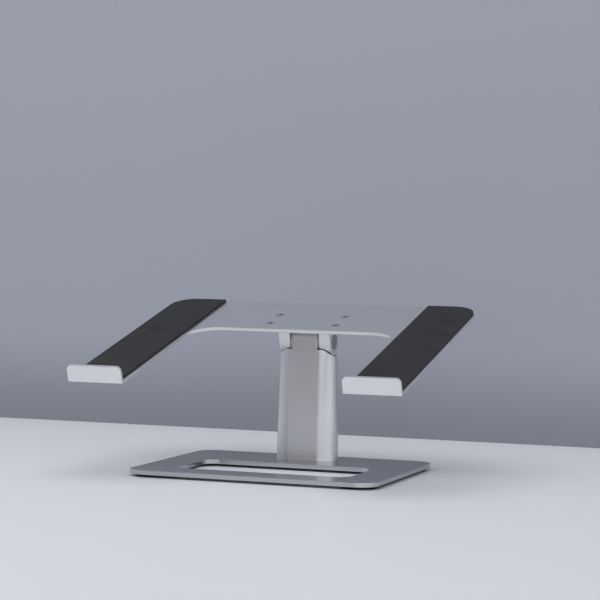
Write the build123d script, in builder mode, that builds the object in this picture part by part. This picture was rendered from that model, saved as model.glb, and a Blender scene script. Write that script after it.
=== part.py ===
from build123d import *
import os
from math import cos, radians, sin, tan

os.makedirs("parts", exist_ok=True)

# Millimetres and degrees. X runs to the right, Y to the back and Z up from the desk.
# The origin lies on the desk under the middle of the base plate.

# Base plate with its wide slot behind the front rail
plate_width = 198
plate_depth = 160
plate_thickness = 3.5
plate_corner = 14.5
plate_edge_round = 0.4
front_rail = 28
slot_width = 140
slot_depth = 66.5
slot_corner = 12

# Round rubber feet, set a little way into the underside of the plate
foot_height = 2
foot_recess = 0.6
foot_radius = 14
foot_side_gap = 3
foot_end_gap = 5
foot_edge_round = 0.5
foot_clearance = 0.1

# Column of oblong section, drafted towards the top
column_setback = 24
column_flat = 24
column_foot_radius = 13.4
column_draft = 1.4
column_wall = 5
core_corner = 4
core_top_gap = 22
hinge_height = 94

# Countersunk screws that hold the column from below
column_screw_radius = 3
column_screw_head = 5.8
column_screw_pitch = 35
column_screw_reach = 14
column_socket_width = 4
column_socket_depth = 1.6
thread_clearance = 0.05
hole_clearance = 0.25
hole_run_out = 2

# Round head of the column and the saddles that the bracket's ears turn in
tongue_width = 21
head_gap = 1
head_edge_round = 0.5
saddle_gap = 0.6
saddle_drop = 6

# Flanged bushes and friction washers
bush_wall = 1.2
bush_length = 7
bush_flange = 0.8
bush_clearance = 0.02
washer_thickness = 1
washer_margin = 2

# Pivot bolt, disc springs, nut and caps
bolt_radius = 3
bolt_clearance = 0.05
bolt_head_radius = 5.5
bolt_head_height = 3.5
bolt_socket_width = 5
bolt_socket_depth = 2
bolt_tip = 0.3
spring_radius = 6
spring_thickness = 0.7
spring_cone = 0.25
spring_gap = 0.02
nut_width = 10
nut_thickness = 3
cap_thickness = 1
cap_wall = 0.45
cap_skirt = 1.2
cap_gap = 0.3
cap_clearance = 0.1
cap_edge_round = 0.4

# Bracket under the tray
bracket_thickness = 3
bracket_depth = 40
bracket_flange = 12
bracket_corner = 6
bracket_edge_round = 0.5
counterbore_radius = 6.6
ear_web = 2.5

# Countersunk screws from the top of the tray into the bracket
bracket_screw_radius = 2
bracket_screw_head = 3.75
bracket_screw_pitch = 24
bracket_socket_width = 2.5
bracket_socket_depth = 1.2

# Tray of bent sheet: two arms, a bridge at the back and an upturned lip on each arm
tray_tilt = 14
tray_width = 260
tray_thickness = 2.5
tray_edge_round = 0.3
arm_width = 44
arm_reach = 171
bridge_front = 28
bridge_back = 45
bridge_corner = 25
rear_corner = 20
bend_inside = 1
bend_outside = 0.8
lip_height = 13.4
lip_opening = 96
lip_corner = 4

# Black pads on the arms and inside the lips
pad_thickness = 2
pad_inset = 1
pad_corner = 3
pad_edge_round = 0.5
lip_pad_thickness = 1.2
lip_pad_margin = 1.5
lip_pad_gap = 0.3
lip_pad_corner = 2.5

sides = {"left": -1, "right": 1}
ends = {"front": -1, "rear": 1}
smooth_angle = 20

# Heights and places on the base
plate_bottom = Plane.XY.offset(foot_height)
plate_top = Plane.XY.offset(foot_height + plate_thickness)
column_y = plate_depth / 2 - column_setback
slot_y = front_rail + slot_depth / 2 - plate_depth / 2
foot_x = plate_width / 2 - foot_side_gap - foot_radius
foot_y = plate_depth / 2 - foot_end_gap - foot_radius

# The head is a cylinder about the hinge axis, tangent to the drafted faces of the column
draft = radians(column_draft)
head_radius = (column_foot_radius - hinge_height * tan(draft)) * cos(draft)
head_start = head_radius * sin(draft)
column_half_width = column_flat / 2 + column_foot_radius
core_width = column_screw_pitch - 2 * (column_screw_radius + column_wall)
core_depth = 2 * (column_foot_radius - column_wall)
core_height = hinge_height - core_top_gap
head_bottom = foot_height + plate_thickness + hinge_height - head_radius - 2 * saddle_gap

# The stack along the hinge axis, from the middle of the tongue outwards
tongue_face = tongue_width / 2
washer_face = tongue_face + bush_flange
ear_inner = washer_face + washer_thickness
spring_face = ear_inner + ear_web
spring_stack = 2 * (spring_thickness + spring_cone) + spring_gap
nut_face = spring_face + spring_stack
bolt_end = nut_face + nut_thickness + bolt_tip
cap_face = bolt_end + cap_gap
ear_outer = cap_face + cap_thickness
washer_radius = head_radius - washer_margin
bush_bore = bolt_radius + bolt_clearance
bush_radius = bush_bore + bush_wall

# The underside of the tray lies this far from the hinge axis
tray_drop = head_radius + head_gap + bracket_thickness
bracket_width = 2 * (ear_outer + bracket_flange)
bracket_screw_span = 2 * ear_outer + bracket_flange

# Planes through the hinge axis: across it, through it, and the same two tilted with the tray
tilt = radians(tray_tilt)
hinge_point = (0, column_y, foot_height + plate_thickness + hinge_height)
hinge_axis = Axis(hinge_point, (1, 0, 0))
hinge_cross = Plane(hinge_point, x_dir=(0, 1, 0), z_dir=(1, 0, 0))
hinge_section = Plane(hinge_point, x_dir=(1, 0, 0), z_dir=(0, -1, 0))
tray_plane = Plane(hinge_point, x_dir=(1, 0, 0), z_dir=(0, -sin(tilt), cos(tilt)))
tray_side = Plane(hinge_point, x_dir=(0, cos(tilt), sin(tilt)), z_dir=(1, 0, 0))
tray_bottom = tray_plane.offset(tray_drop)
tray_top = tray_plane.offset(tray_drop + tray_thickness)

# Each lip leans out from the square by lean; its outer face meets the underside at lip_root
lean = radians(lip_opening - 90)
lip_angle = tilt + lean
lip_length = lip_height / cos(lean)
lip_root = (-arm_reach, tray_drop)
lip_tip = (-arm_reach - lip_height * tan(lean), tray_drop + lip_height)
bend_reach = tray_thickness + bend_inside
flat_front = arm_reach - 2 * bend_reach
lip_face = Plane(
    tray_side.from_local_coords((*lip_root, 0)),
    x_dir=(1, 0, 0),
    z_dir=(0, -cos(lip_angle), -sin(lip_angle)),
)
arm_x = (tray_width - arm_width) / 2
pad_front = arm_reach - bend_reach
pad_back = bridge_back - pad_inset
lip_pad_bottom = (tray_thickness + pad_thickness + lip_pad_gap) / cos(lean)
lip_pad_height = lip_length - lip_pad_margin - lip_pad_bottom


def sharp_edges(part):
    """The edges where two faces meet at an angle, without the seams inside smooth bends."""
    edges = ShapeList()
    for edge in part.edges():
        middle = edge @ 0.5
        normals = [
            face.normal_at(middle)
            for face in part.faces()
            if any(edge.is_same(border) for border in face.edges())
        ]
        if len(normals) == 2 and normals[0].get_angle(normals[1]) > smooth_angle:
            edges.append(edge)
    return edges


def countersunk_screw(radius, head, length, socket_width, socket_depth):
    """A screw with its flat head on the XY plane and its shank pointing down."""
    with BuildPart() as screw:
        with BuildSketch(Plane.XZ):
            with BuildLine():
                Polyline(
                    (0, 0), (head, 0), (radius, radius - head), (radius, -length), (0, -length),
                    close=True,
                )
            make_face()
        revolve(axis=Axis.Z)
        with BuildSketch():
            RegularPolygon(socket_width / 2, 6, major_radius=False)
        extrude(amount=-socket_depth, mode=Mode.SUBTRACT)
    return screw.part


with BuildPart() as base_plate:
    with BuildSketch(plate_bottom):
        RectangleRounded(plate_width, plate_depth, plate_corner)
        with Locations((0, slot_y)):
            RectangleRounded(slot_width, slot_depth, slot_corner, mode=Mode.SUBTRACT)
    extrude(amount=plate_thickness)
    fillet(sharp_edges(base_plate.part), plate_edge_round)
    with BuildSketch(plate_bottom):
        with GridLocations(2 * foot_x, 2 * foot_y, 2, 2):
            Circle(foot_radius + foot_clearance)
    extrude(amount=foot_recess, mode=Mode.SUBTRACT)
    with Locations(Plane((0, column_y, foot_height), x_dir=(1, 0, 0), z_dir=(0, 0, -1))):
        with GridLocations(column_screw_pitch, 1, 2, 1):
            CounterSinkHole(
                column_screw_radius + hole_clearance,
                column_screw_head + hole_clearance,
                depth=plate_thickness,
                counter_sink_angle=90,
            )
base_plate.part.label = "base_plate"
export_step(base_plate.part, "parts/base_plate.step")

for end, along in ends.items():
    for side, across in sides.items():
        with BuildPart() as foot:
            with BuildSketch():
                with Locations((across * foot_x, along * foot_y)):
                    Circle(foot_radius)
            extrude(amount=foot_height + foot_recess)
            fillet(foot.faces().sort_by(Axis.Z)[0].edges(), foot_edge_round)
        foot.part.label = f"foot_{end}_{side}"
        export_step(foot.part, f"parts/foot_{end}_{side}.step")

with BuildPart() as column:
    with BuildSketch(plate_top):
        with Locations((0, column_y)):
            SlotCenterToCenter(column_flat, 2 * column_foot_radius)
    extrude(amount=hinge_height + head_radius, taper=column_draft)
    with BuildSketch(plate_top):
        with Locations((0, column_y)):
            RectangleRounded(core_width, core_depth, core_corner)
    extrude(amount=core_height, taper=column_draft, mode=Mode.SUBTRACT)
    # Round the head over from front to back
    with BuildSketch(hinge_cross):
        with Locations((0, head_start)):
            Rectangle(2 * column_foot_radius, 2 * head_radius, align=(Align.CENTER, Align.MIN))
        Circle(head_radius, mode=Mode.SUBTRACT)
    extrude(amount=column_half_width, both=True, mode=Mode.SUBTRACT)
    # Cut a saddle for each ear, which leaves the tongue in the middle
    for across in sides.values():
        with BuildSketch(hinge_cross.offset(across * tongue_face)):
            Circle(head_radius + saddle_gap)
            with Locations((0, -saddle_drop)):
                Rectangle(4 * head_radius, 4 * head_radius, align=(Align.CENTER, Align.MIN))
        extrude(amount=across * column_half_width, mode=Mode.SUBTRACT)
    head_edges = sharp_edges(column.part).filter_by(lambda edge: (edge @ 0.5).Z > head_bottom)
    fillet(head_edges, head_edge_round)
    with Locations(hinge_cross):
        Hole(bush_radius + bush_clearance)
    with Locations(plate_top):
        with Locations((0, column_y)):
            with GridLocations(column_screw_pitch, 1, 2, 1):
                Hole(column_screw_radius + thread_clearance, depth=column_screw_reach + hole_run_out)
column.part.label = "column"
export_step(column.part, "parts/column.step")

column_screw = countersunk_screw(
    column_screw_radius,
    column_screw_head,
    plate_thickness + column_screw_reach,
    column_socket_width,
    column_socket_depth,
)
with BuildPart() as column_screws:
    with Locations(Plane((0, column_y, foot_height), x_dir=(1, 0, 0), z_dir=(0, 0, -1))):
        with GridLocations(column_screw_pitch, 1, 2, 1):
            add(column_screw)
column_screws.part.label = "column_screws"
export_step(column_screws.part, "parts/column_screws.step")

for side, across in sides.items():
    with BuildPart() as bush:
        with BuildSketch(hinge_cross.offset(across * tongue_face)):
            Circle(washer_radius)
        extrude(amount=across * bush_flange)
        with BuildSketch(hinge_cross.offset(across * tongue_face)):
            Circle(bush_radius)
        extrude(amount=-across * bush_length)
        with Locations(hinge_cross):
            Hole(bush_bore)
    bush.part.label = f"bush_{side}"
    export_step(bush.part, f"parts/bush_{side}.step")

    with BuildPart() as friction_washer:
        with BuildSketch(hinge_cross.offset(across * washer_face)):
            Circle(washer_radius)
            Circle(bolt_radius + bolt_clearance, mode=Mode.SUBTRACT)
        extrude(amount=across * washer_thickness)
    friction_washer.part.label = f"friction_washer_{side}"
    export_step(friction_washer.part, f"parts/friction_washer_{side}.step")

    with BuildPart() as hinge_cap:
        with BuildSketch(hinge_cross.offset(across * cap_face)):
            Circle(counterbore_radius - cap_clearance)
        extrude(amount=across * cap_thickness)
        rim = hinge_cap.faces().sort_by(Axis.X)[0 if across < 0 else -1]
        fillet(rim.edges(), cap_edge_round)
        with BuildSketch(hinge_cross.offset(across * cap_face)):
            Circle(counterbore_radius - cap_clearance)
            Circle(counterbore_radius - cap_clearance - cap_wall, mode=Mode.SUBTRACT)
        extrude(amount=-across * cap_skirt)
    hinge_cap.part.label = f"hinge_cap_{side}"
    export_step(hinge_cap.part, f"parts/hinge_cap_{side}.step")

with BuildPart() as hinge_bolt:
    with BuildSketch(hinge_section):
        with BuildLine():
            Polyline(
                (-spring_face - bolt_head_height, 0),
                (-spring_face - bolt_head_height, bolt_head_radius),
                (-spring_face, bolt_head_radius),
                (-spring_face, bolt_radius),
                (bolt_end, bolt_radius),
                (bolt_end, 0),
                close=True,
            )
        make_face()
    revolve(axis=hinge_axis)
    with BuildSketch(hinge_cross.offset(-spring_face - bolt_head_height)):
        RegularPolygon(bolt_socket_width / 2, 6, major_radius=False)
    extrude(amount=bolt_socket_depth, mode=Mode.SUBTRACT)
hinge_bolt.part.label = "hinge_bolt"
export_step(hinge_bolt.part, "parts/hinge_bolt.step")

# Two conical discs, rim to rim, between the right ear and the nut
with BuildPart() as disc_springs:
    rim_x = spring_face + spring_cone
    with BuildSketch(hinge_section):
        with BuildLine():
            Polyline(
                (spring_face, bolt_radius + bolt_clearance),
                (spring_face + spring_thickness, bolt_radius + bolt_clearance),
                (rim_x + spring_thickness, spring_radius),
                (rim_x, spring_radius),
                close=True,
            )
        make_face()
    revolve(axis=hinge_axis)
    mirror(about=hinge_cross.offset(spring_face + spring_stack / 2))
disc_springs.part.label = "disc_springs"
export_step(disc_springs.part, "parts/disc_springs.step")

with BuildPart() as hinge_nut:
    with BuildSketch(hinge_cross.offset(nut_face)):
        RegularPolygon(nut_width / 2, 6, major_radius=False)
        Circle(bolt_radius + thread_clearance, mode=Mode.SUBTRACT)
    extrude(amount=nut_thickness)
hinge_nut.part.label = "hinge_nut"
export_step(hinge_nut.part, "parts/hinge_nut.step")

with BuildPart() as hinge_bracket:
    with BuildSketch(tray_bottom):
        RectangleRounded(bracket_width, bracket_depth, bracket_corner)
    extrude(amount=-bracket_thickness)
    for across in sides.values():
        with BuildSketch(tray_side.offset(across * ear_inner)):
            Circle(head_radius)
            Rectangle(
                2 * head_radius, tray_drop - bracket_thickness, align=(Align.CENTER, Align.MIN)
            )
        extrude(amount=across * (ear_outer - ear_inner))
    fillet(sharp_edges(hinge_bracket.part), bracket_edge_round)
    for across in sides.values():
        with BuildSketch(tray_side.offset(across * ear_outer)):
            Circle(counterbore_radius)
        extrude(amount=-across * (ear_outer - spring_face), mode=Mode.SUBTRACT)
    with Locations(hinge_cross):
        Hole(bolt_radius + bolt_clearance)
    with Locations(tray_bottom):
        with GridLocations(bracket_screw_span, bracket_screw_pitch, 2, 2):
            Hole(bracket_screw_radius + thread_clearance, depth=bracket_thickness)
hinge_bracket.part.label = "hinge_bracket"
export_step(hinge_bracket.part, "parts/hinge_bracket.step")

with BuildPart() as tray:
    with BuildSketch(tray_bottom) as outline:
        with Locations((0, bridge_back)):
            Rectangle(tray_width, bridge_back + flat_front, align=(Align.CENTER, Align.MAX))
        with Locations((0, -bridge_front)):
            Rectangle(
                tray_width - 2 * arm_width, arm_reach, align=(Align.CENTER, Align.MAX),
                mode=Mode.SUBTRACT,
            )
        fillet(outline.vertices().group_by(Axis.Y)[-2], bridge_corner)
        fillet(outline.vertices().group_by(Axis.Y)[-1], rear_corner)
    extrude(amount=tray_thickness)
    for across in sides.values():
        with BuildSketch(tray_side.offset(across * arm_x - arm_width / 2)) as bend:
            with BuildLine():
                Polyline((-flat_front, tray_drop), lip_root, lip_tip)
                offset(amount=tray_thickness, side=Side.RIGHT, kind=Kind.INTERSECTION)
            make_face()
            outer_corner, inner_corner = bend.vertices().sort_by_distance((*lip_root, 0))[:2]
            fillet(outer_corner, bend_outside)
            fillet(inner_corner, bend_inside)
        extrude(amount=arm_width)
    lip_tops = tray.faces().sort_by(Axis(hinge_point, lip_face.y_dir))[-2:]
    fillet(lip_tops.edges().filter_by(Axis.X, reverse=True), lip_corner)
    fillet(sharp_edges(tray.part), tray_edge_round)
    with Locations(tray_top):
        with GridLocations(bracket_screw_span, bracket_screw_pitch, 2, 2):
            CounterSinkHole(
                bracket_screw_radius + hole_clearance,
                bracket_screw_head + hole_clearance,
                depth=tray_thickness,
                counter_sink_angle=90,
            )
tray.part.label = "tray"
export_step(tray.part, "parts/tray.step")

bracket_screw = countersunk_screw(
    bracket_screw_radius,
    bracket_screw_head,
    tray_thickness + bracket_thickness,
    bracket_socket_width,
    bracket_socket_depth,
)
with BuildPart() as bracket_screws:
    with Locations(tray_top):
        with GridLocations(bracket_screw_span, bracket_screw_pitch, 2, 2):
            add(bracket_screw)
bracket_screws.part.label = "bracket_screws"
export_step(bracket_screws.part, "parts/bracket_screws.step")

for side, across in sides.items():
    with BuildPart() as arm_pad:
        with BuildSketch(tray_top) as strip:
            with Locations((across * arm_x, pad_back)):
                Rectangle(
                    arm_width - 2 * pad_inset, pad_back + pad_front,
                    align=(Align.CENTER, Align.MAX),
                )
            corners = strip.vertices().sort_by(lambda v: abs(v.X) + v.Y)
            fillet(corners[-1], rear_corner - pad_inset)
            fillet(corners[:-1], pad_corner)
        extrude(amount=pad_thickness)
        rest_face = arm_pad.faces().sort_by(Axis(hinge_point, tray_plane.z_dir))[-1]
        fillet(rest_face.edges(), pad_edge_round)
    arm_pad.part.label = f"arm_pad_{side}"
    export_step(arm_pad.part, f"parts/arm_pad_{side}.step")

    with BuildPart() as lip_pad:
        with BuildSketch(lip_face.offset(-tray_thickness)):
            with Locations((across * arm_x, lip_pad_bottom + lip_pad_height / 2)):
                RectangleRounded(arm_width - 2 * pad_inset, lip_pad_height, lip_pad_corner)
        extrude(amount=-lip_pad_thickness)
        stop_face = lip_pad.faces().sort_by(Axis(hinge_point, lip_face.z_dir))[0]
        fillet(stop_face.edges(), pad_edge_round)
    lip_pad.part.label = f"lip_pad_{side}"
    export_step(lip_pad.part, f"parts/lip_pad_{side}.step")
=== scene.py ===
import math

import bmesh
import bpy
from mathutils import Matrix, Vector


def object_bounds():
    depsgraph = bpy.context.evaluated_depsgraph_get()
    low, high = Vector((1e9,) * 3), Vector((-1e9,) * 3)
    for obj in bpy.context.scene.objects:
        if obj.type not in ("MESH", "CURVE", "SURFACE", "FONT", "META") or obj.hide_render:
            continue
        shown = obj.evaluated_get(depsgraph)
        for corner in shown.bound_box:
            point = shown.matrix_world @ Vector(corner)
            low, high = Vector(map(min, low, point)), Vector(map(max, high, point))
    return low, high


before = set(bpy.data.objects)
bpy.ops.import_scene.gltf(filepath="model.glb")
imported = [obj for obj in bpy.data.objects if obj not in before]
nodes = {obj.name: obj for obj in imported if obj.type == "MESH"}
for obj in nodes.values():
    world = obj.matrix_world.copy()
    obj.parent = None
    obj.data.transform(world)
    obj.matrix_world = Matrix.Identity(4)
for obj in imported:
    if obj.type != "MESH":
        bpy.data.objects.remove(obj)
cadLow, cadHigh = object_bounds()
scene = bpy.context.scene
scene.view_settings.view_transform = "Standard"
print("frame loaded:", len(nodes), "nodes")


# Short helpers for shader trees
def addNode(tree, kind, **settings):
    made = tree.nodes.new(kind)
    for name, value in settings.items():
        setattr(made, name, value)
    return made


def feed(tree, value, socket):  # links an output, or sets a number, a direction or a colour
    if isinstance(value, bpy.types.NodeSocket):
        tree.links.new(value, socket)
    elif socket.type == "RGBA":
        socket.default_value = (*value, 1.0)
    else:
        socket.default_value = value


def setInputs(made, **values):  # an underscore stands for a space in the socket's name
    for name, value in values.items():
        feed(made.id_data, value, made.inputs[name.replace("_", " ")])
    return made


def combine(tree, operation, *values, kind="ShaderNodeMath"):
    made = addNode(tree, kind, operation=operation)
    for value, socket in zip(values, made.inputs):
        feed(tree, value, socket)
    return made.outputs["Value"]


def agreement(tree, *ways):  # 1 where two directions are the same, 0 where they are square to each other
    return combine(tree, "DOT_PRODUCT", *ways, kind="ShaderNodeVectorMath")


def fade(tree, value, start, full):  # 0 up to start, 1 past full and smooth between them
    ramp = addNode(tree, "ShaderNodeMapRange", interpolation_type="SMOOTHSTEP")
    return setInputs(ramp, Value=value, From_Min=start, From_Max=full).outputs["Result"]


def spread(tree, amount, low, high):  # an amount from 0 to 1, laid out from low to high
    ramp = addNode(tree, "ShaderNodeMapRange")
    return setInputs(ramp, Value=amount, To_Min=low, To_Max=high).outputs["Result"]


def mixColour(tree, amount, low, high):
    mix = setInputs(addNode(tree, "ShaderNodeMix", data_type="RGBA"), Factor=amount)
    colourSockets = [socket for socket in mix.inputs if socket.type == "RGBA"]
    for colour, socket in zip((low, high), colourSockets):
        feed(tree, colour, socket)
    return next(socket for socket in mix.outputs if socket.type == "RGBA")


def addNoise(tree, scale, noise):
    place = addNode(tree, "ShaderNodeTexCoord").outputs["Object"]
    return setInputs(addNode(tree, "ShaderNodeTexNoise"), Vector=place, Scale=scale, **noise).outputs["Fac"]


def newGroup(name, inputs, outputs):
    tree = bpy.data.node_groups.new(name, "ShaderNodeTree")
    for direction, labels in (("INPUT", inputs), ("OUTPUT", outputs)):
        for label in labels:
            tree.interface.new_socket(label, in_out=direction, socket_type="NodeSocketFloat")
    return tree, tree.nodes.new("NodeGroupInput").outputs, tree.nodes.new("NodeGroupOutput")


def useGroup(tree, group, **values):
    return setInputs(addNode(tree, "ShaderNodeGroup", node_tree=group), **values).outputs


def newMaterial(name):
    material = bpy.data.materials.new(name)
    material.use_nodes = True
    tree = material.node_tree
    return material, tree, tree.nodes["Principled BSDF"]


# Fine pits of a blasted or moulded skin: a height for bump and a speckle for colour
grainNoise = {
    "pits": {"Detail": 2.0, "Roughness": 0.6},
    "patches": {"Detail": 3.0, "Roughness": 0.5},
}


def buildGrain():
    tree, entry, out = newGroup("skinGrain", ["Scale", "Patches"], ["Height", "Speckle"])
    pits = addNoise(tree, entry["Scale"], grainNoise["pits"])
    patches = addNoise(tree, entry["Patches"], grainNoise["patches"])
    setInputs(out, Height=pits, Speckle=combine(tree, "MULTIPLY", pits, patches))
    return tree


# Where fingers touch: broad soft patches, from 0 to 1
smudgeNoise = {"Detail": 4.0, "Roughness": 0.62, "Distortion": 0.4}
smudgeFade = {"start": 0.5, "full": 0.72}


def buildSmudge():
    tree, entry, out = newGroup("handSmudge", ["Scale"], ["Amount"])
    clouds = addNoise(tree, entry["Scale"], smudgeNoise)
    setInputs(out, Amount=fade(tree, clouds, **smudgeFade))
    return tree


# Nearness to an edge, from 0 to 1: a brighter edge colour laid on it is a painted highlight, a darker one
# is wear
edgeSamples = 6
edgeFade = {"start": 0.02, "full": 0.25}


def buildEdgeWearAndHighlight():
    tree, entry, out = newGroup("edgeWearAndHighlight", ["Width"], ["Amount"])
    rounded = setInputs(addNode(tree, "ShaderNodeBevel", samples=edgeSamples), Radius=entry["Width"])
    surface = addNode(tree, "ShaderNodeNewGeometry")
    unturned = agreement(tree, rounded.outputs["Normal"], surface.outputs["Normal"])
    setInputs(out, Amount=fade(tree, combine(tree, "SUBTRACT", 1.0, unturned), **edgeFade))
    return tree


skinGrain = buildGrain()
handSmudge = buildSmudge()
edgeWearAndHighlight = buildEdgeWearAndHighlight()
print("shader groups built")


# Steps that the finishes share
def paintSkin(tree, bsdf, finish, colour, shade, edge):  # a speckled colour; brighter edges are a painted highlight, darker edges are wear
    grain = useGroup(tree, skinGrain, Scale=finish["grainScale"], Patches=finish["patches"])
    highlightAndWear = useGroup(tree, edgeWearAndHighlight, Width=finish["edgeWidth"])
    body = mixColour(tree, grain["Speckle"], colour, shade)
    setInputs(bsdf, Base_Color=mixColour(tree, highlightAndWear["Amount"], body, edge))
    return grain


def raiseGrain(tree, bsdf, finish, grain):
    bump = addNode(tree, "ShaderNodeBump")
    setInputs(bump, Strength=finish["bump"], Distance=finish["grainDepth"], Height=grain["Height"])
    setInputs(bsdf, Normal=bump.outputs["Normal"])


def toned(finish, tone, *keys):  # a finish's colours, each part times the tone's
    return [[part * share for part, share in zip(finish[key], tone)] for key in keys]


def dress(piece, material):
    for name in piece["nodes"]:
        for materialSlot in nodes[name].material_slots:
            materialSlot.material = material


# Blasted and anodised aluminium, with a tone and a gloss for each piece; the plate's darker tone is partly
# its own and partly painted shade
aluminium = {
    "colour": (0.86, 0.87, 0.90),
    "shade": (0.80, 0.81, 0.845),
    # edge: a painted highlight along the edges
    "edge": (0.93, 0.935, 0.95),
    "edgeWidth": 0.0006,
    "grainScale": 5200.0,
    "patches": 45.0,
    "bump": 0.5,
    "grainDepth": 0.000006,
    "smudgeScale": 24.0,
}
plateFinish = {
    "material": "plateAluminium",
    "nodes": ["base_plate"],
    # a darker copy of the same aluminium: partly the plate's own tone, partly painted shade
    "tone": (0.66, 0.66, 0.67),
    "rim": 0.80,  # how much is mirrored at a grazing angle
    "roughness": (0.21, 0.25),
}
columnFinish = {
    "material": "columnAluminium",
    "nodes": ["column"],
    "tone": (0.83, 0.83, 0.83),
    "rim": 1.0,
    "roughness": (0.35, 0.39),
}
trayFinish = {
    "material": "trayAluminium",
    "nodes": ["tray"],
    "tone": (0.96, 0.96, 0.92),
    "rim": 1.0,
    "roughness": (0.30, 0.36),
}
bracketFinish = {**trayFinish, "material": "bracketAluminium", "nodes": ["hinge_bracket"]}


def makeAluminium(piece):
    material, tree, bsdf = newMaterial(piece["material"])
    grain = paintSkin(tree, bsdf, aluminium, *toned(aluminium, piece["tone"], "colour", "shade", "edge"))
    smudge = useGroup(tree, handSmudge, Scale=aluminium["smudgeScale"])
    setInputs(bsdf, Roughness=spread(tree, smudge["Amount"], *piece["roughness"]))
    setInputs(bsdf, Metallic=1.0, Specular_Tint=[piece["rim"]] * 3)
    raiseGrain(tree, bsdf, aluminium, grain)
    return material


for piece in (plateFinish, columnFinish, trayFinish, bracketFinish):
    dress(piece, makeAluminium(piece))
print("aluminium dressed")


# Black silicone rubber: pads for the load, and feet that are a little darker and duller, their darker tone
# a painted shade from under the plate
rubber = {
    "colour": (0.010, 0.010, 0.011),
    "worn": (0.022, 0.022, 0.024),
    "edgeWidth": 0.0008,
    "grainScale": 2600.0,
    "patches": 90.0,
    "bump": 0.6,
    "grainDepth": 0.00002,
    "smudgeScale": 32.0,
    "ior": 1.43,
}
padFinish = {
    "material": "padRubber",
    "nodes": ["arm_pad_left", "arm_pad_right", "lip_pad_left", "lip_pad_right"],
    "tone": (1.0, 1.0, 1.0),
    "specular": 0.5,
    "roughness": (0.62, 0.74),
}
footFinish = {
    "material": "footRubber",
    "nodes": [name for name in nodes if name.startswith("foot_")],
    # darker tone: painted shade of the gap under the plate
    "tone": (0.8, 0.8, 0.8),
    "specular": 0.3,
    "roughness": (0.70, 0.85),
}


def makeRubber(piece):
    material, tree, bsdf = newMaterial(piece["material"])
    colour, worn = toned(rubber, piece["tone"], "colour", "worn")
    # the worn colour also tints the edges, brighter there: partly wear, partly a painted highlight
    grain = paintSkin(tree, bsdf, rubber, colour, worn, worn)
    smudge = useGroup(tree, handSmudge, Scale=rubber["smudgeScale"])
    setInputs(bsdf, Roughness=spread(tree, smudge["Amount"], *piece["roughness"]))
    setInputs(bsdf, IOR=rubber["ior"], Specular_IOR_Level=piece["specular"])
    raiseGrain(tree, bsdf, rubber, grain)
    return material


for piece in (padFinish, footFinish):
    dress(piece, makeRubber(piece))
print("rubber dressed")


# Zinc plated steel of the screws, bolt, nut and springs
steelFinish = {
    "material": "platedSteel",
    "nodes": ["column_screws", "bracket_screws", "hinge_bolt", "disc_springs", "hinge_nut"],
    "colour": (0.60, 0.605, 0.62),
    "shade": (0.50, 0.505, 0.53),
    # edge: a painted highlight along the edges
    "edge": (0.72, 0.72, 0.73),
    "edgeWidth": 0.0003,
    "grainScale": 3200.0,
    "patches": 220.0,
    "roughness": (0.22, 0.38),
}


def makeSteel(piece):
    material, tree, bsdf = newMaterial(piece["material"])
    grain = paintSkin(tree, bsdf, piece, piece["colour"], piece["shade"], piece["edge"])
    setInputs(bsdf, Metallic=1.0, Roughness=spread(tree, grain["Speckle"], *piece["roughness"]))
    return material


dress(steelFinish, makeSteel(steelFinish))
print("steel dressed")


# Moulded plastic of the caps, and the polymer of the bushes and washers
plastic = {"edgeWidth": 0.0004, "grainScale": 2400.0, "patches": 120.0, "bump": 0.4, "grainDepth": 0.00001}
capFinish = {
    "material": "capPlastic",
    "nodes": ["hinge_cap_left", "hinge_cap_right"],
    "colour": (0.20, 0.20, 0.215),
    "worn": (0.26, 0.26, 0.275),
    "roughness": (0.37, 0.53),
}
bushFinish = {
    "material": "bushPolymer",
    "nodes": ["bush_left", "bush_right", "friction_washer_left", "friction_washer_right"],
    "colour": (0.70, 0.67, 0.60),
    "worn": (0.62, 0.59, 0.52),
    "roughness": (0.32, 0.48),
}


def makePlastic(piece):
    material, tree, bsdf = newMaterial(piece["material"])
    # the worn colour also tints the edges: brighter on the caps, partly wear and partly a painted
    # highlight; darker on the bushes, wear
    grain = paintSkin(tree, bsdf, plastic, piece["colour"], piece["worn"], piece["worn"])
    setInputs(bsdf, Roughness=spread(tree, grain["Speckle"], *piece["roughness"]))
    raiseGrain(tree, bsdf, plastic, grain)
    return material


for piece in (capFinish, bushFinish):
    dress(piece, makePlastic(piece))
print("plastic dressed")


# The stage is a pale floor and a grey backdrop, which only show from the front
def stagePlane(name, reach, place, material):
    mesh = bpy.data.meshes.new(name)
    shape = bmesh.new()
    bmesh.ops.create_grid(shape, x_segments=1, y_segments=1, size=reach, matrix=place)
    shape.to_mesh(mesh)
    shape.free()
    mesh.materials.append(material)
    made = bpy.data.objects.new(name, mesh)
    scene.collection.objects.link(made)


def clearWhere(tree, bsdf, amount):
    choose = setInputs(addNode(tree, "ShaderNodeMixShader"), Fac=amount)
    clear = addNode(tree, "ShaderNodeBsdfTransparent")
    for shader, socket in zip((bsdf, clear), choose.inputs[1:]):
        tree.links.new(shader.outputs["BSDF"], socket)
    setInputs(tree.nodes["Material Output"], Surface=choose.outputs["Shader"])


# Metal mirrors the floor as if it ended a short way in front
# Seen from below, an underside mirrors what is under the floor
floorSettings = {
    "reach": 8.0,
    "colour": (0.632, 0.643, 0.679),
    "roughness": 0.40,
    "mirrorColour": (0.06, 0.06, 0.065),
    "mirrorFade": {"start": -0.33, "full": -0.40},
    "underReach": 0.008,
    "clearPasses": 0.5,  # under one, so the first clear surface that a ray has passed counts
}


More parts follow.
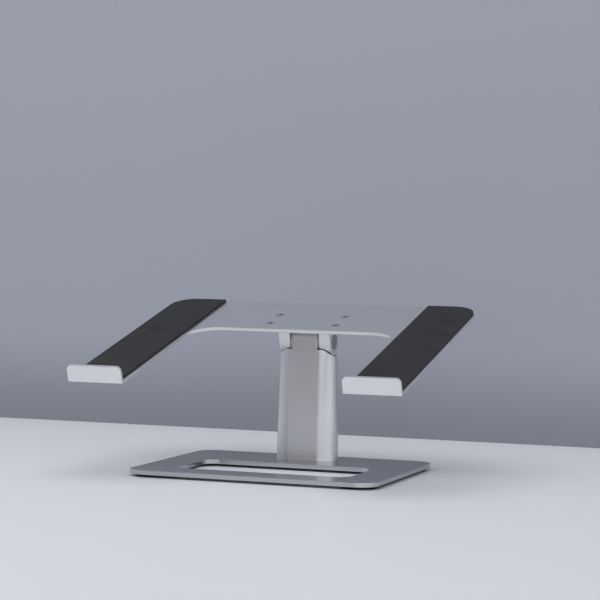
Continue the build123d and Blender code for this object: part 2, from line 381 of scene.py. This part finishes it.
def paintFloor():
    material, tree, bsdf = newMaterial("floorPaint")
    surface = addNode(tree, "ShaderNodeNewGeometry").outputs
    path = addNode(tree, "ShaderNodeLightPath").outputs
    axes = setInputs(addNode(tree, "ShaderNodeSeparateXYZ"), Vector=surface["Position"]).outputs
    ahead = fade(tree, axes["Y"], **floorSettings["mirrorFade"])
    mirrored = combine(tree, "MULTIPLY", ahead, path["Is Glossy Ray"])
    painted = mixColour(tree, mirrored, floorSettings["colour"], floorSettings["mirrorColour"])
    setInputs(bsdf, Base_Color=painted, Roughness=floorSettings["roughness"])
    near = combine(tree, "LESS_THAN", path["Ray Length"], floorSettings["underReach"])
    fromBelow = combine(tree, "GREATER_THAN", path["Transparent Depth"], floorSettings["clearPasses"])
    nearBelow = combine(tree, "MULTIPLY", near, fromBelow)
    under = combine(tree, "MULTIPLY", nearBelow, path["Is Glossy Ray"])
    clearWhere(tree, bsdf, combine(tree, "MAXIMUM", under, surface["Backfacing"]))
    return material


# The backdrop has a painted shade at its foot, and is paler at its sides only in what metal mirrors, a
# painted reflection
wallSettings = {
    "behind": 0.300,
    "reach": 3.0,
    "roughness": 0.9,
    "middleColour": (0.326, 0.341, 0.394),
    "footShadeColour": (0.222, 0.233, 0.272),
    "sideColour": (0.70, 0.71, 0.73),
    "footShadeFade": {"start": 0.0, "full": 0.09},
    "middleAt": -0.035,
    "sideFade": {"start": 0.385, "full": 0.46},
}


def paintWall():
    material, tree, bsdf = newMaterial("wallPaint")
    surface = addNode(tree, "ShaderNodeNewGeometry").outputs
    path = addNode(tree, "ShaderNodeLightPath").outputs
    axes = setInputs(addNode(tree, "ShaderNodeSeparateXYZ"), Vector=surface["Position"]).outputs
    # painted shade: darker towards the foot
    height = fade(tree, axes["Z"], **wallSettings["footShadeFade"])
    middle = mixColour(tree, height, wallSettings["footShadeColour"], wallSettings["middleColour"])
    fromMiddle = combine(tree, "ABSOLUTE", combine(tree, "SUBTRACT", axes["X"], wallSettings["middleAt"]))
    sides = fade(tree, fromMiddle, **wallSettings["sideFade"])
    # the paler sides show only in reflections: a painted reflection
    mirrored = combine(tree, "MULTIPLY", sides, path["Is Glossy Ray"])
    painted = mixColour(tree, mirrored, middle, wallSettings["sideColour"])
    setInputs(bsdf, Base_Color=painted, Roughness=wallSettings["roughness"])
    clearWhere(tree, bsdf, surface["Backfacing"])
    return material


stagePlane("floor", floorSettings["reach"], Matrix.Translation((0, 0, cadLow.z)), paintFloor())
upright = Matrix.Rotation(math.pi / 2, 4, "X")
wallPlace = Matrix.Translation((0, wallSettings["behind"], 0)) @ upright
stagePlane("wall", wallSettings["reach"], wallPlace, paintWall())
print("stage set")


# A dim world with a broad bright side, a weaker one and a soft top and bottom
# The background itself shows as a plain grey
worldSettings = {
    "dim": (0.075, 0.076, 0.080),
    "seen": (0.33, 0.335, 0.35),
    "panels": [
        {"way": (0.848, -0.530, 0.0), "start": 0.255, "full": 0.407, "colour": (1.16, 1.165, 1.185)},
        {"way": (-0.985, 0.174, 0.0), "start": 0.10, "full": 0.60, "colour": (0.43, 0.435, 0.45)},
        {"way": (0.0, 0.0, 1.0), "start": 0.18, "full": 0.60, "colour": (0.60, 0.605, 0.62)},
        {"way": (0.0, 0.0, -1.0), "start": 0.05, "full": 0.50, "colour": (0.45, 0.455, 0.47)},
    ],
}


def lightWorld():
    world = bpy.data.worlds.new("studio")
    world.use_nodes = True
    tree = world.node_tree
    way = addNode(tree, "ShaderNodeTexCoord").outputs["Generated"]
    lit = worldSettings["dim"]
    for panel in worldSettings["panels"]:
        amount = fade(tree, agreement(tree, way, panel["way"]), panel["start"], panel["full"])
        lit = mixColour(tree, amount, lit, panel["colour"])
    path = addNode(tree, "ShaderNodeLightPath").outputs
    shown = mixColour(tree, path["Is Camera Ray"], lit, worldSettings["seen"])
    setInputs(tree.nodes["Background"], Color=shown)
    scene.world = world


# One broad lamp overhead, aimed at the origin, which metal doesn't mirror
lampSettings = {"place": (-0.15, -0.40, 1.7), "size": 2.4, "power": 29.8}


def hangLamp():
    lamp = bpy.data.lights.new("overhead", "AREA")
    lamp.shape = "DISK"
    lamp.size = lampSettings["size"]
    lamp.energy = lampSettings["power"]
    made = bpy.data.objects.new("overhead", lamp)
    made.location = lampSettings["place"]
    made.rotation_euler = (-made.location).to_track_quat("-Z", "Y").to_euler()
    made.visible_glossy = False
    scene.collection.objects.link(made)


lightWorld()
hangLamp()
print("lights set")


# Camera at the photograph's angle: a turn from straight ahead, a slight dip and roll, in radians
cameraSettings = {
    "place": (0.57798, -1.58175, 0.19785),
    "turn": 0.34378,
    "dip": 0.03784,
    "roll": 0.01638,
    "focalPixels": 2178.95,
    "imagePixels": 600,
    "sensor": 36.0,
}


def aimCamera():
    turn, dip, roll = (cameraSettings[key] for key in ("turn", "dip", "roll"))
    ahead = Vector((-math.sin(turn) * math.cos(dip), math.cos(turn) * math.cos(dip), -math.sin(dip)))
    across = Vector((math.cos(turn), math.sin(turn), 0.0))
    above = across.cross(ahead)
    rolledAcross = across * math.cos(roll) + above * math.sin(roll)
    rolledAbove = above * math.cos(roll) - across * math.sin(roll)
    lens = bpy.data.cameras.new("camera")
    lens.sensor_width = cameraSettings["sensor"]
    lens.lens = cameraSettings["focalPixels"] / cameraSettings["imagePixels"] * lens.sensor_width
    made = bpy.data.objects.new("camera", lens)
    axes = Matrix((rolledAcross, rolledAbove, -ahead)).transposed().to_4x4()
    made.matrix_world = Matrix.Translation(cameraSettings["place"]) @ axes
    scene.collection.objects.link(made)
    scene.camera = made


aimCamera()
print("camera set")
